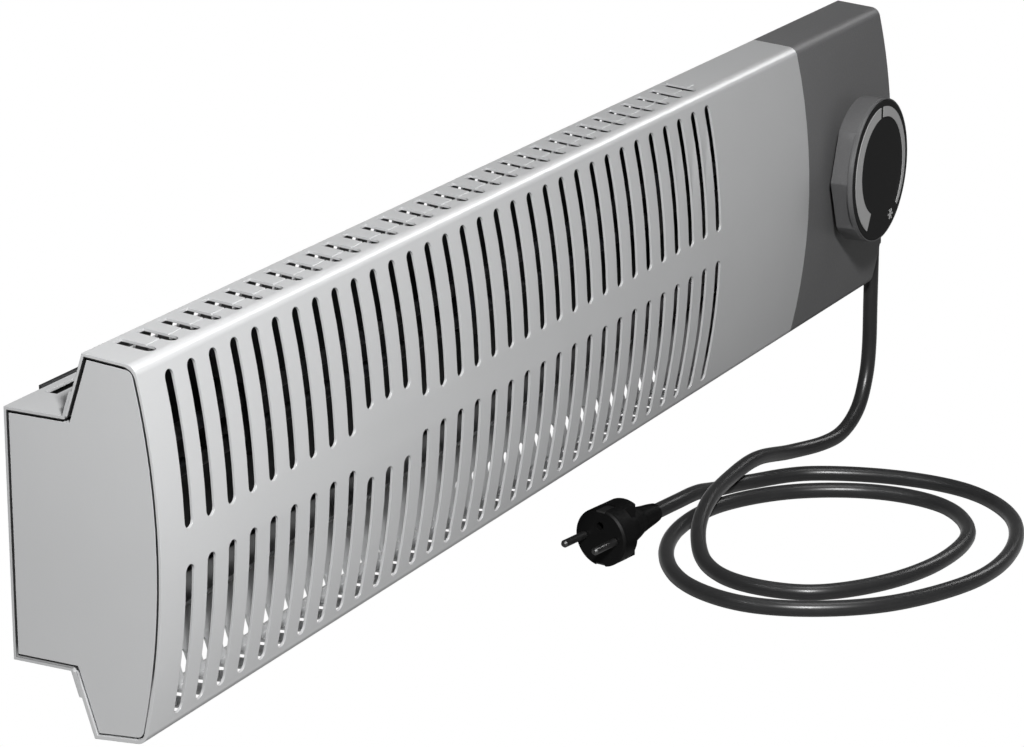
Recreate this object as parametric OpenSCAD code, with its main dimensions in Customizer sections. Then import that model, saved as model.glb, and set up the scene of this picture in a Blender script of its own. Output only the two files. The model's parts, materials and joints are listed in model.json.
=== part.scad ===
// Wall-mounted frost protection heater with a rotary thermostat and a mains lead.
// X runs along the length towards the control end, Y towards the wall, Z up.
// The origin is the middle of the four wall screws, on the wall.

/* [Overall] */
// Length of the ventilated housing
body_len = 631; // [450:1:800]
// Length of the control cover at the right end
cover_len = 113; // [110:1:150]
// Overall height
height = 160; // [150:1:200]
// Depth from the wall to the front of the curve
depth = 76; // [73:1:95]

/* [Section] */
// Height of the rear box
box_h = 106; // [98:1:114]
// Depth of the rear box, from the wall to the notch
box_d = 33.5; // [31:0.5:39]
// How far a rear slope runs forwards
slope_run = 9; // [6:0.5:13]
// Depth of the top face, from its rear edge to its front edge
top_run = 24; // [20:1:30]
// How far the top face falls towards the front
top_fall = 2; // [0:0.1:5]
// Radius of the long front edges
corner_r = 5.5; // [3:0.5:7.5]

/* [Sheet and walls] */
// Thickness of the housing sheet
sheet_t = 1.2; // [0.8:0.1:1.5]
// Thickness of the rear casing sheet
casing_t = 1.2; // [0.8:0.1:1.5]
// Thickness of the hemmed edge round the left end
hem_t = 1.6; // [1.5:0.1:3]
// Length of the hemmed edge
hem_len = 6; // [4:0.5:8]
// Wall of the plastic control cover
cover_t = 2.5; // [2:0.1:3.5]
// Height of the casing flange that laps each rear slope
flange_h = 10.5; // [9:0.5:12]
// Gap between the ventilated housing and the control cover
seam = 0.4; // [0.2:0.1:1]
// Clearance round the pieces that slide into the housing
fit_gap = 0.3; // [0.2:0.05:0.6]
// Clearance round a screw that passes through a sheet
hole_clear = 0.15; // [0.1:0.05:0.4]
// Clearance in a threaded or seated hole
seat_clear = 0.02; // [0:0.01:0.05]
// Gap between the wall and the rear casing
wall_gap = 5; // [4.5:0.5:7]

/* [Slots] */
// Distance between neighbouring slots
slot_pitch = 16; // [13:0.5:18]
// Width of a slot
slot_w = 6.2; // [4:0.1:8]
// Number of slot columns
slot_count = 32; // [8:1:34]
// Centre of the first column from the left end
slot_first = 21; // [18:0.5:28]
// Inner end of the front slots, from the middle height
slot_in = 7.5; // [6:0.1:14]
// Outer end of the front slots, from the middle height
slot_out = 71.5; // [55:0.5:72]
// First of the columns that are shortened round the bare patch
bare_first = 9; // [0:1:20]
// Number of shortened columns
bare_count = 3; // [0:1:6]
// How much the shortened columns lose at their inner ends
bare_cut = 7.6; // [0:0.1:20]
// Front end of the slots in the top and bottom faces, from the wall
top_slot_front = 62.2; // [55:0.1:64]
// Depth of the bar left along the rear edge, behind those slots
edge_bar = 2.5; // [1.5:0.1:4]
// Gap between the casing flange and the slots in a rear slope
rear_slot_gap = 3; // [2:0.5:5]
// Distance of the fine groove across the slotted stretch from the rear edge
groove_in = 7.5; // [6:0.1:10]

/* [Wall brackets] */
// Distance between the two wall brackets
bracket_span = 620; // [380:10:636]
// Width of a wall bracket
bracket_w = 70; // [56:1:80]
// Thickness of a wall bracket
bracket_t = 1.5; // [1:0.1:2.5]
// Vertical distance between the two screw holes of a bracket
bracket_hole_pitch = 60; // [40:1:70]
// Diameter of the wall screw holes
bracket_hole_d = 5.5; // [4:0.1:7]
// Width of a hanging lug
lug_w = 14; // [10:1:18]
// Distance between the two lugs of a bracket
lug_pitch = 42; // [36:1:50]
// Height of the lugs above the middle
lug_z = 34; // [30:1:36]
// How far a lug turns up behind the casing
lug_rise = 9; // [7:1:10]

/* [End cap and bulkhead] */
// How far the left end cap is set in
cap_inset = 0.5; // [0.3:0.1:3]
// Gap round the plate of the end cap
cap_gap = 0.9; // [0.5:0.1:1.5]
// Thickness of the end cap and the bulkhead
cap_t = 1.2; // [0.8:0.1:1.6]
// Depth of the rims that they are screwed by
cap_rim = 16; // [15:1:20]

/* [Heating element] */
// Diameter of the sheathed element
rod_d = 7; // [6:0.1:8]
// Distance between its two legs
rod_pitch = 16; // [14:0.5:20]
// Height of the middle of the element
rod_z = 19; // [0:1:22]
// Distance of the element from the wall
rod_y = 39; // [35:1:45]
// Gap between the left end cap and the bend of the element
rod_end_gap = 23; // [18:1:60]
// Number of element supports
support_count = 3; // [2:1:5]
// Thickness of an element support
support_t = 1; // [0.8:0.1:1.5]
// Height of the heat shield
shield_h = 94; // [84:1:98]
// Distance of the heat shield's face from the wall
shield_y = 18.5; // [16:0.5:21]
// Thickness of the heat shield
shield_t = 0.6; // [0.5:0.1:1]

/* [Knob and thermostat] */
// Place of the knob, from the left edge of the control cover
knob_x = 58; // [55:1:60]
// Height of the knob's axis above the middle
knob_z = 2.5; // [0:0.5:8]
// Diameter of the knob
knob_d = 78; // [76:0.5:84]
// Height of the knob with its dial disc
knob_h = 12.6; // [11:0.1:20]
// Distance of the four grip flats from the knob's axis
grip_in = 36; // [34:0.5:38]
// Turn of a grip flat above or below the middle
grip_a = 20; // [16:1:24]
// Wall of the knob
knob_wall = 2.4; // [1.8:0.1:3.5]
// Gap between the knob and the cover
knob_gap = 3.9; // [0.5:0.1:5]
// Diameter of the thermostat spindle
spindle_d = 6; // [5:0.1:8]
// Running clearance of the spindle, on the radius
spindle_clear = 0.05; // [0.02:0.01:0.1]
// Depth of the flat on the spindle
spindle_flat = 1.5; // [1:0.1:2]
// Diameter of the threaded thermostat neck
neck_d = 10; // [9.5:0.1:12]
// Width of the thermostat body
thermo_w = 46; // [40:1:48]
// Height of the thermostat body
thermo_h = 34; // [30:1:38]
// Depth of the thermostat body
thermo_d = 24; // [22:1:27]
// Distance of the thermostat's front face from the wall
thermo_y = 49; // [47:1:53]

/* [Dial] */
// Thickness of the dial disc
dial_t = 1.5; // [1:0.1:2]
// Diameter of the dial disc
dial_d = 76; // [72:0.1:78]
// Outer radius of the pale scale ring
ring_r = 34.5; // [28:0.1:35.5]
// Width of the ring at its broad end
ring_wide = 9.8; // [7:0.1:15]
// Width of the ring at its narrow end
ring_thin = 2.2; // [1:0.1:5]
// Angle from the top to the broad end, anticlockwise
ring_from = 150; // [100:1:160]
// Angle from the top to the narrow end, clockwise
ring_to = 135; // [100:1:150]
// Width of the pointer line at the top of the ring
pointer_w = 3.4; // [2:0.1:5]
// Size of the frost symbol
frost_size = 6; // [4:0.5:8]

/* [Mains lead] */
// Diameter of the mains lead
cord_d = 8.2; // [7:0.1:8.4]
// Distance of the lead's drop from the right end
drop_x = 19; // [18:1:24]
// Distance of the lead's drop from the wall
drop_y = 59; // [57:1:61]
// Length of the tapered sleeve
sleeve_len = 22; // [20:1:40]
// Diameter of the sleeve at its root
sleeve_root_d = 11; // [10.5:0.1:12]
// Radius of the bend in which the lead turns down
bend_r = 30; // [28:0.5:31]
// Diameter of the plug's face
plug_d = 31; // [30:0.5:38]
// Length of the plug body
plug_len = 49; // [47:1:56]
// Diameter of a plug pin
pin_d = 4; // [3.8:0.1:5]
// Length of a plug pin
pin_len = 19; // [17:0.5:20]
// Distance between the plug pins
pin_pitch = 19; // [18:0.5:20]

/* [Hidden] */
$fn = 64;

// Ends of the heater along X, with the wall screws in the middle
total_len = body_len + cover_len;
left_x = -total_len / 2;
joint_x = left_x + body_len;
right_x = total_len / 2;

// Section: half heights, rear slope and front arc
half_h = height / 2;
half_box = box_h / 2;
slope_rise = half_h - half_box;
slope_ratio = slope_run / slope_rise;
slope_angle = atan(slope_ratio);
slope_stretch = 1 / cos(slope_angle);
fall_ratio = top_fall / top_run;
fall_stretch = sqrt(1 + fall_ratio * fall_ratio);
rear_edge_y = -box_d - slope_run;
front_edge_y = rear_edge_y - top_run;
front_edge_z = half_h - top_fall;
bulge = depth + front_edge_y;
arc_r = (bulge * bulge + front_edge_z * front_edge_z) / (2 * bulge);
arc_y = arc_r - depth;
arc_fn = 720;

// Centre of the round front edge: corner_r below the top face and inside the front arc
top_dir = [-1, -fall_ratio] / fall_stretch;
top_in = [fall_ratio, -1] / fall_stretch;
edge_start = [rear_edge_y, half_h] + top_in * corner_r - [arc_y, 0];
edge_along = edge_start * top_dir;
edge_reach = pow(arc_r - corner_r, 2) - edge_start * edge_start;
edge_run = -edge_along + sqrt(pow(edge_along, 2) + edge_reach);
edge_c = edge_start + top_dir * edge_run + [arc_y, 0];
edge_a0 = atan2(-top_in[1], -top_in[0]);
edge_a1 = atan2(edge_c[1], edge_c[0] - arc_y);
edge_lap = 0.04;
groove_w = 0.8;
groove_deep = 0.4;
groove_floor = (half_h - groove_in * fall_ratio) / fall_stretch - groove_deep;

// Rear slope and its screws
flange_z = half_box + flange_h;
rear_slot_z = flange_z + rear_slot_gap;
screw_z = half_box + flange_h / 2;
screw_r = 1.75;
screw_head_r = 3.2;
screw_head_h = 2;
screw_reach = 6;
screw_edge = 9;
cover_screw_in = 14;
screw_xs = [left_x + screw_edge, left_x + body_len / 3, left_x + body_len * 2 / 3,
    joint_x - screw_edge, joint_x + cover_screw_in, right_x - cover_screw_in];
small_r = 1.5;
small_head_r = 2.8;

// Inside planes
back_in = -wall_gap - casing_t;
floor_in = -half_box + casing_t;
cap_x = left_x + cap_inset;
bulk_x = joint_x - cap_rim - seam;
comp_x = bulk_x + cap_t;
casing_end = right_x - cover_t - fit_gap;

// Wall bracket details
bracket_x = bracket_span / 2;
bracket_top = half_box - 8;
bracket_low = -half_box + 8;
upstand_rise = 8.8;
upstand_in = 0.3;
lug_gap = 0.3;
lug_out = wall_gap + casing_t + lug_gap + bracket_t;
lug_play = 1;
window_w = bracket_w + 8;
window_from = wall_gap + 4;
window_to = wall_gap + 9.5;

// Element details
rod_r = rod_d / 2;
rod_hi = rod_z + rod_pitch / 2;
rod_lo = rod_z - rod_pitch / 2;
rod_left = cap_x + rod_end_gap + rod_pitch / 2 + rod_r;
rod_right = comp_x + 6;
rod_clear = 0.1;
seal_len = 6;
seal_step = 0.8;
element_pin_r = 1.25;
element_pin_len = 16;
pin_end = rod_right + element_pin_len;
collar_r = rod_r + 3;
collar_t = 2.5;
shield_x0 = cap_x + cap_rim + 4;
shield_x1 = bulk_x - 3;
support_w = 14;
support_half = rod_pitch / 2 + rod_r + 4;
rivet_out = support_half + 5;
rivet_margin = 4.5;
rivet_r = 1.6;
rivet_head = 1.4;

// Thermostat and knob stack, along -Y from the wall
axis_x = joint_x + knob_x;
spindle_r = spindle_d / 2;
neck_r = neck_d / 2;
neck_len = 9;
neck_foot = 1.5;
thermo_back = thermo_y - thermo_d;
carrier_t = 1.5;
carrier_h = 30;
carrier_w = thermo_w + 0.6;
foot_w = 12;
nut_t = 3.5;
nut_flat = neck_d + 5;
collar_room = 5;
collar_play = 0.3;
spindle_inner = thermo_y - collar_room - 5;
spindle_end_gap = 0.3;
knob_back = depth + knob_gap;
knob_front = knob_back + knob_h;
knob_r = knob_d / 2;
dial_round = 0.5;
dial_play = 0.1;
dial_proud = 0.2;
hub_r = spindle_r + 4;
bore_end = knob_front - dial_t - 3;
spindle_tip = bore_end - spindle_end_gap;
flat_from = knob_back + 1;
cover_hole_r = spindle_r + 2;
cover_boss = 6;
dial_r = dial_d / 2;
rim_r = dial_r + dial_play + 0.6;
rim_t = 1.5;
mark_t = 0.3;
frost_after = 15.5;
frost_in = 2.4;
tab_w = 6.3;
tab_t = 0.8;
tab_len = 8;
tab_pitch = 24;
tab_y = -thermo_y + thermo_d / 2 + tab_t / 2;
tab_end_z = knob_z - thermo_h / 2 - tab_len;

// Feeler, cut-out, terminal block and earth stud
bulb_r = 3;
bulb_len = 48;
bulb_y = -29.5;
bulb_x = -8;
bulb_z = floor_in + bulb_r + fit_gap;
tube_r = 0.9;
cutout_y = -51;
cutout_z = -20;
cutout_r = 8;
cutout_t = 9;
cutout_hole_r = 4;
cutout_tab = 4;
cutout_end = comp_x + cutout_t + tab_len;
block_x = axis_x + 4;
block_pitch = 12;
block_d = 16;
block_h = 18;
block_z = floor_in + 9.8;
block_top = block_z + block_h;
bore_y = back_in - 7;
bore_r = 1.6;
wire_r = 1.2;
wire_gap = 0.2;
stud_x = axis_x - 8;
stud_z = floor_in + 11.8;

// Lead: surface it lies on, hood on the end wall, clamp inside
surface_z = -169;
cord_r = cord_d / 2;
cord_clear = 0.1;
lay_z = surface_z + cord_r;
drop_at = [right_x + drop_x, -drop_y];
hood_low = -38;
hood_wall = 2;
hood_half_y = 8;
hood_c = [right_x + drop_x - bend_r, hood_low + 4];
hood_r = bend_r + cord_r + 4;
hood_block = 7.5;
hood_screw_zs = [hood_low + 6, hood_low + 15];
hood_screw_grip = 5;
window_top = hood_c[1] + bend_r;
sleeve_tip_d = cord_d + 1.6;
sleeve_end_z = hood_low - sleeve_len;
sleeve_flange = 1.3;
sleeve_flange_t = 2.5;
grommet_r = cord_r + 1.3;
grommet_flange_r = cord_r + 1.8;
grommet_flange_t = 2;
shelf_t = 3;
shelf_half = 13;
clamp_x = right_x - 20;
clamp_w = 10;
clamp_t = 3;
clamp_out = cord_r + 5.5;
tail_end_x = clamp_x - clamp_w / 2 - 3;
core_start = [tail_end_x, -drop_y, window_top];
core_from = core_start - [wire_gap, 0, 0];

// Plug: place of its cable end from the lead's drop, and its turn towards the wall
plug_from_drop = [-228, 25.4];
plug_turn = 9;
plug_r = plug_d / 2;
plug_at = [drop_at[0] + plug_from_drop[0], drop_at[1] + plug_from_drop[1], surface_z + plug_r];
plug_neck_r = cord_r + 0.9;
plug_front_t = 11.5;
plug_front_at = plug_len - plug_front_t;
plug_grip_len = 10;
plug_grip_half = 7;
plug_neck = [[plug_neck_r, 0], [plug_neck_r + 0.6, 3.5], [plug_neck_r + 1.4, 10], [plug_neck_r + 2.4, 16.5],
    [plug_neck_r + 3.8, 21.5], [plug_neck_r + 5, 27], [plug_neck_r + 5.6, plug_front_at]];
pin_root = 10;
pin_root_d = pin_d - 0.8;
earth_hole_d = 4.2;
earth_hole_up = 6.5;
pin_root_out = 0.5;
pin_tip = 1.2;
pin_tip_in = 0.8;
clip_w = 5.6;
clip_t = 1;
clip_play = 0.3;
notch_d = 2;

// Route of the lead from the sleeve to the plug, chosen by hand: x and y from its drop,
// height above its lay
route = [
    [0, 0, 72], [0, 0, 44], [-4, 0, 26], [-15, 0, 11], [-31, 2, 2], [-50, 6, 0],
    [-78, 14, 2], [-116, 17, 9], [-154, 16, 9.5], [-194, 10, 9.5], [-228, 0, 5],
    [-257, -18, 0], [-275, -46, 0], [-271, -82, 0], [-241, -109, 0], [-198, -123, 0],
    [-152, -120, 0], [-119, -94, 0], [-113, -54, 0], [-133, -13, 0],
    [-171, 13, 0], [-216, 17, 0], [-258, 4, 0], [-289, -22, 0], [-301, -58, 0],
    [-290, -95, 0], [-262, -127, 0], [-214, -149, 0], [-164, -149, 0], [-118, -131, 0],
    [-90, -97, 0], [-86, -53, 0], [-101, -9, 0], [-128, 14, 0],
    [-156, 22, 3], [-182, 22, 9], [-206, 22.2, 11.4]];

function lean(z) = -box_d - (z - half_box) * slope_ratio;
function thick_slope(t) = t * slope_stretch;
function thick_top(t) = t * fall_stretch;
function corner_shift(t) = (thick_top(t) * slope_ratio - thick_slope(t)) / (1 + fall_ratio * slope_ratio);
function rear_in(t) = [rear_edge_y + corner_shift(t), half_h + corner_shift(t) * fall_ratio - thick_top(t)];
function top_at(y, t) = half_h + (y - rear_edge_y) * fall_ratio - thick_top(t);
function slope_at(y, t) = half_box - (y + box_d + thick_slope(t)) / slope_ratio;
function mirrored(p) = concat(p, [for (i = [len(p) - 1:-1:0]) [p[i][0], -p[i][1]]]);
function on_circle(c, r, a) = c + r * [cos(a), sin(a)];

// Extrudes a drawing of the section, x to Y and y to Z, from x0 over a length
module along_x(x0, length) {
    translate([x0, 0, 0]) rotate([90, 0, 90]) linear_extrude(length) children();
}

// Turns +Z towards the room, with the drawing upright
module to_room(x, y, z) {
    translate([x, y, z]) rotate([90, 0, 0]) children();
}

// Waste outside a round front edge; its two ends lie just outside the faces that they run into
module edge_waste(t) {
    far = corner_r * 3;
    steps = 6;
    r = corner_r - t;
    angles = [for (k = [0:steps]) edge_a0 + (edge_a1 - edge_a0) * k / steps];
    round_pts = [for (k = [0:steps]) on_circle(edge_c, k % steps == 0 ? r + edge_lap : r, angles[k])];
    outer_pts = [for (k = [steps:-1:0]) on_circle(edge_c, far, angles[k])];
    polygon(concat(round_pts, outer_pts));
}

// Front part of the section, inset by t, with its back edge at the given y
module front_area(t = 0, back = -box_d) {
    far = -depth - 10;
    difference() {
        intersection() {
            polygon(mirrored([[back, slope_at(back, t)], rear_in(t), [far, top_at(far, t)]]));
            translate([arc_y, 0]) circle(arc_r - t, $fn = arc_fn);
        }
        edge_waste(t);
        mirror([0, 1]) edge_waste(t);
    }
}

// Whole section of the front part and the rear box, inset by t, and by another value behind
module end_area(t = 0, behind = 0) {
    front_area(t);
    translate([rear_edge_y, -half_box + t]) square([-rear_edge_y - wall_gap - behind, box_h - 2 * t]);
}

// Sheet of the front part, t thick; it ends level with the top and bottom of the rear box
module front_shell(t) {
    difference() {
        front_area();
        front_area(t, -box_d + 6);
        translate([rear_edge_y, -half_box]) square([slope_run + 6, box_h]);
    }
}

// Place on a rear slope, with +Z out of the slope; side is 1 at the top and -1 at the bottom
module on_slope(x, side) {
    translate([x, lean(screw_z), side * screw_z]) rotate([side * slope_angle, 0, 0]) rotate([-90, 0, 0])
        children();
}

module slope_holes(xs = screw_xs) {
    for (x = xs) for (side = [1, -1])
        on_slope(x, side) translate([0, 0, -10]) cylinder(r = screw_r + hole_clear, h = 20);
}

// One slot through the front, with round ends
module front_slot(x, z0, z1) {
    r = slot_w / 2;
    behind = edge_c[0] + 2;
    reach = depth + behind + 5;
    for (z = [z0 + r, z1 - r]) to_room(x, behind, z) cylinder(r = r, h = reach, $fn = 32);
    translate([x - r, behind - reach, z0 + r]) cube([slot_w, reach, z1 - z0 - slot_w]);
}

// One slot through the top face and one below it through the rear slope
module top_slot(x, side) {
    r = slot_w / 2;
    top_end = rear_edge_y - edge_bar;
    slope_end = half_h - edge_bar - 1.5;
    mirror([0, 0, side < 0 ? 1 : 0]) {
        translate([x, r - top_slot_front, half_h - 14]) cylinder(r = r, h = 20, $fn = 32);
        translate([x - r, r - top_slot_front, half_h - 4]) cube([slot_w, top_end + top_slot_front - r, 8]);
        to_room(x, -box_d + 5, rear_slot_z + r) cylinder(r = r, h = slope_run + 8, $fn = 32);
        translate([x - r, top_end - 3, rear_slot_z + r])
            cube([slot_w, edge_bar + slope_run + 8, slope_end - rear_slot_z - r]);
    }
}

// Fine groove across the slotted stretch of the top face, near its rear edge
module edge_groove() {
    start = left_x + slot_first;
    stretch = slot_pitch * (slot_count - 0.4);
    translate([start, rear_edge_y - groove_in - groove_w / 2, 0]) rotate([atan(fall_ratio), 0, 0])
        translate([0, 0, groove_floor]) cube([stretch, groove_w, 5]);
}

module all_slots() {
    for (i = [0:slot_count - 1]) {
        x = left_x + slot_first + i * slot_pitch;
        cut = i >= bare_first && i < bare_first + bare_count ? bare_cut : 0;
        front_slot(x, slot_in + cut, slot_out);
        front_slot(x, -slot_out, -slot_in - cut);
        for (side = [1, -1]) top_slot(x, side);
    }
}

// Straight screw with a domed head on +Z; its seat is at z = 0
module screw(reach, r = screw_r, head_r = screw_head_r) {
    rim = screw_head_h * 0.6;
    translate([0, 0, -reach]) cylinder(r = r, h = reach, $fn = 32);
    cylinder(r = head_r, h = rim, $fn = 32);
    translate([0, 0, rim]) cylinder(r1 = head_r, r2 = head_r * 0.7, h = screw_head_h - rim, $fn = 32);
}

// Hole for a small screw, along Z
module small_hole(h, clear) {
    cylinder(r = small_r + clear, h = h, $fn = 32);
}

// Tube swept along points, its ends square to the first and last stretch
function unit(v) = v / norm(v);
function heading(p, i) = unit(p[min(i + 1, len(p) - 1)] - p[max(i - 1, 0)]);
function ring_at(p, i, r, sides) = let (t = heading(p, i),
        s = unit(cross(t, abs(t[2]) > 0.8 ? [0, 1, 0] : [0, 0, 1])), u = cross(s, t))
    [for (k = [0:sides - 1]) p[i] + r * (cos(k * 360 / sides) * s + sin(k * 360 / sides) * u)];
// Ring turned so that its first point lies nearest the ring before
function best_shift(a, b) = let (d = [for (k = [0:len(b) - 1]) norm(a[0] - b[k])], m = min(d))
    [for (k = [0:len(b) - 1]) if (d[k] == m) k][0];
function turned(b, k) = [for (i = [0:len(b) - 1]) b[(i + k) % len(b)]];
function rings(p, r, sides, i = 0, done = []) = i == len(p) ? done :
    let (raw = ring_at(p, i, r, sides), now = i == 0 ? raw : turned(raw, best_shift(done[i - 1], raw)))
    rings(p, r, sides, i + 1, concat(done, [now]));

module swept_tube(p, r, sides = 8) {
    all = rings(p, r, sides);
    n = len(p);
    pts = [for (ring = all) each ring];
    sides_f = [for (i = [0:n - 2]) for (k = [0:sides - 1])
        let (a = i * sides + k, b = i * sides + (k + 1) % sides)
            each [[a, b, a + sides], [b, b + sides, a + sides]]];
    first_f = [for (k = [1:sides - 2]) [0, k + 1, k]];
    last_f = [for (k = [1:sides - 2]) [(n - 1) * sides, (n - 1) * sides + k, (n - 1) * sides + k + 1]];
    polyhedron(pts, concat(sides_f, first_f, last_f));
}

// Smooth curve through points, with a number of steps between neighbours
function spline(p, steps) = let (n = len(p)) concat([for (i = [0:n - 2]) for (k = [0:steps - 1])
    let (t = k / steps, a = p[max(i - 1, 0)], b = p[i], c = p[i + 1], d = p[min(i + 2, n - 1)])
        0.5 * (2 * b + (c - a) * t + (2 * a - 5 * b + 4 * c - d) * t * t
            + (3 * b - a - 3 * c + d) * t * t * t)],
    [p[n - 1]]);

// Wall brackets: plate, an upstand behind the casing's top edge and two turned-up lugs each
module wall_brackets() {
    color("dimgray") for (s = [1, -1]) difference() {
        translate([s * bracket_x, 0, 0]) {
            translate([-bracket_w / 2, -bracket_t, bracket_low])
                cube([bracket_w, bracket_t, bracket_top - bracket_low]);
            translate([-bracket_w / 2, upstand_in - wall_gap, bracket_top - bracket_t]) {
                cube([bracket_w, wall_gap - upstand_in, bracket_t]);
                cube([bracket_w, bracket_t, bracket_t + upstand_rise]);
            }
            for (k = [1, -1]) translate([k * lug_pitch / 2 - lug_w / 2, -lug_out, lug_z - bracket_t]) {
                cube([lug_w, lug_out, bracket_t]);
                cube([lug_w, bracket_t, lug_rise]);
            }
        }
        for (k = [1, -1]) to_room(s * bracket_x, 1, k * bracket_hole_pitch / 2)
            cylinder(d = bracket_hole_d, h = bracket_t + 2);
    }
}

// Section of the rear casing: box open to the front, with a flange lapping each slope
module casing_area() {
    th = thick_slope(casing_t);
    polygon(mirrored([[-wall_gap, half_box], [lean(half_box) + th, half_box], [lean(flange_z) + th, flange_z],
        [lean(flange_z), flange_z], [lean(half_box - casing_t), half_box - casing_t]]));
}

// Rear casing: hemmed left edge, windows over the brackets and slots for their lugs
module back_casing() {
    slot_h = lug_rise + 4;
    lug_slot_w = lug_w + 2 * lug_play;
    color("silver") difference() {
        union() {
            along_x(left_x, casing_end - left_x) difference() {
                casing_area();
                translate([rear_edge_y, floor_in]) square([back_in - rear_edge_y, -2 * floor_in]);
            }
            along_x(left_x, hem_len) difference() {
                intersection() {
                    translate([-box_d, -half_box]) square([box_d - wall_gap, box_h]);
                    casing_area();
                }
                end_area(hem_t, hem_t);
            }
        }
        for (s = [1, -1]) {
            translate([s * bracket_x - window_w / 2, -window_to, half_box - 5])
                cube([window_w, window_to - window_from, 10]);
            for (x = [lug_pitch / 2, -lug_pitch / 2])
                translate([s * bracket_x + x - lug_slot_w / 2, back_in - 2, lug_z + lug_gap - slot_h])
                    cube([lug_slot_w, casing_t + 4, slot_h]);
        }
        slope_holes();
        foot_places() to_room(0, -wall_gap + 1, 0) small_hole(casing_t + 2, seat_clear);
    }
}

// Slotted front housing with its own hemmed left edge
module front_housing() {
    color("gainsboro") difference() {
        union() {
            along_x(left_x, body_len) front_shell(sheet_t);
            along_x(left_x, hem_len) front_shell(hem_t);
        }
        all_slots();
        for (side = [0, 1]) mirror([0, 0, side]) edge_groove();
        slope_holes();
    }
}

// Tray that closes an end: a plate with a rim turned towards +X
module tray(x, inset, behind) {
    difference() {
        along_x(x, cap_rim) end_area(inset, behind);
        along_x(x + cap_t, cap_rim) end_area(inset + cap_t, behind + cap_t);
    }
}

module left_end_cap() {
    color("lightgray") difference() {
        tray(cap_x, hem_t + cap_gap, hem_t + fit_gap);
        slope_holes([screw_xs[0]]);
    }
}

module bulkhead() {
    color("silver") difference() {
        tray(bulk_x, max(sheet_t, casing_t) + fit_gap, casing_t + fit_gap);
        slope_holes([screw_xs[3]]);
        rod_ends(bulk_x - 1) cylinder(r = rod_r + rod_clear, h = cap_t + 2);
        translate([bulk_x - 1, cutout_y, cutout_z]) rotate([0, 90, 0])
            cylinder(r = cutout_hole_r, h = cap_t + 2);
    }
}

// Moulded cover over the controls, with its end wall, a shelf for the lead and a window to the hood
module control_cover() {
    end_x = right_x - cover_t - 1;
    boss_y = cover_t + cover_boss - depth;
    shelf_x = clamp_x - clamp_w / 2 - 3;
    color("dimgray") difference() {
        union() {
            along_x(joint_x + seam, cover_len - seam) front_shell(cover_t);
            along_x(right_x - cover_t, cover_t) end_area();
            translate([shelf_x, -drop_y - shelf_half, window_top - cord_r - shelf_t])
                cube([right_x - cover_t / 2 - shelf_x, 2 * shelf_half, shelf_t]);
            to_room(axis_x, boss_y, knob_z) cylinder(r = cover_hole_r + 4, h = cover_boss + 1);
        }
        to_room(axis_x, boss_y + 5, knob_z) cylinder(r = cover_hole_r, h = cover_boss + 15);
        translate([end_x, -drop_y, window_top]) rotate([0, 90, 0]) cylinder(r = cord_r + 1, h = cover_t + 2);
        translate([hood_c[0] - 1, -drop_y - cord_r - 1, window_top - cord_r - shelf_t - 2])
            cube([drop_x, cord_d + 2, cord_r + shelf_t + 2]);
        slope_holes([screw_xs[4], screw_xs[5]]);
        for (k = [1, -1]) translate([clamp_x, k * clamp_out - drop_y, window_top - cord_r - shelf_t - 1])
            small_hole(shelf_t + 2, seat_clear);
        for (z = hood_screw_zs) translate([end_x, -drop_y, z]) rotate([0, 90, 0])
            small_hole(cover_t + 2, hole_clear);
    }
}

// Shallow channel behind the element, its legs on the rear casing
module heat_shield() {
    legs = shield_y + back_in;
    color("darkgray") difference() {
        translate([shield_x0, -shield_y, -shield_h / 2]) cube([shield_x1 - shield_x0, legs, shield_h]);
        translate([shield_x0 - 1, -shield_y + shield_t, -shield_h / 2 + shield_t])
            cube([shield_x1 - shield_x0 + 2, legs, shield_h - 2 * shield_t]);
        support_places() to_room(0, -shield_y + 5, 0) cylinder(r = rivet_r, h = 10, $fn = 32);
    }
}

// Places on the element's two legs, with +Z along them towards the controls
module rod_ends(x) {
    for (z = [rod_hi, rod_lo]) translate([x, -rod_y, z]) rotate([0, 90, 0]) children();
}

// Sheathed element: two legs joined by a round bend at the left
module heating_element() {
    color("slategray") {
        rod_ends(rod_left) cylinder(r = rod_r, h = rod_right - rod_left);
        translate([rod_left, -rod_y, rod_z]) rotate([90, 0, 0]) rotate([0, 0, 90])
            rotate_extrude(angle = 180) translate([rod_pitch / 2, 0]) circle(r = rod_r);
    }
}

module element_seals() {
    color("linen") rod_ends(rod_right) difference() {
        cylinder(r = rod_r - seal_step, h = seal_len);
        translate([0, 0, -1]) cylinder(r = element_pin_r, h = seal_len + 2);
    }
}

module element_pins() {
    color("silver") rod_ends(rod_right) cylinder(r = element_pin_r, h = element_pin_len);
}

module element_collars() {
    color("gray") rod_ends(comp_x) difference() {
        cylinder(r = collar_r, h = collar_t);
        translate([0, 0, -1]) cylinder(r = rod_r, h = collar_t + 2);
    }
}

// Left edge of an element support
function support_x(i) = shield_x0 + (shield_x1 - shield_x0) * (i + 0.5) / support_count;

// Rivets of the element supports, two to a support, all on the heat shield
module support_places() {
    for (i = [0:support_count - 1]) for (k = [1, -1])
        translate([support_x(i) + support_w / 2 + 1, 0, rod_z + k * rivet_out]) children();
}

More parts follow.
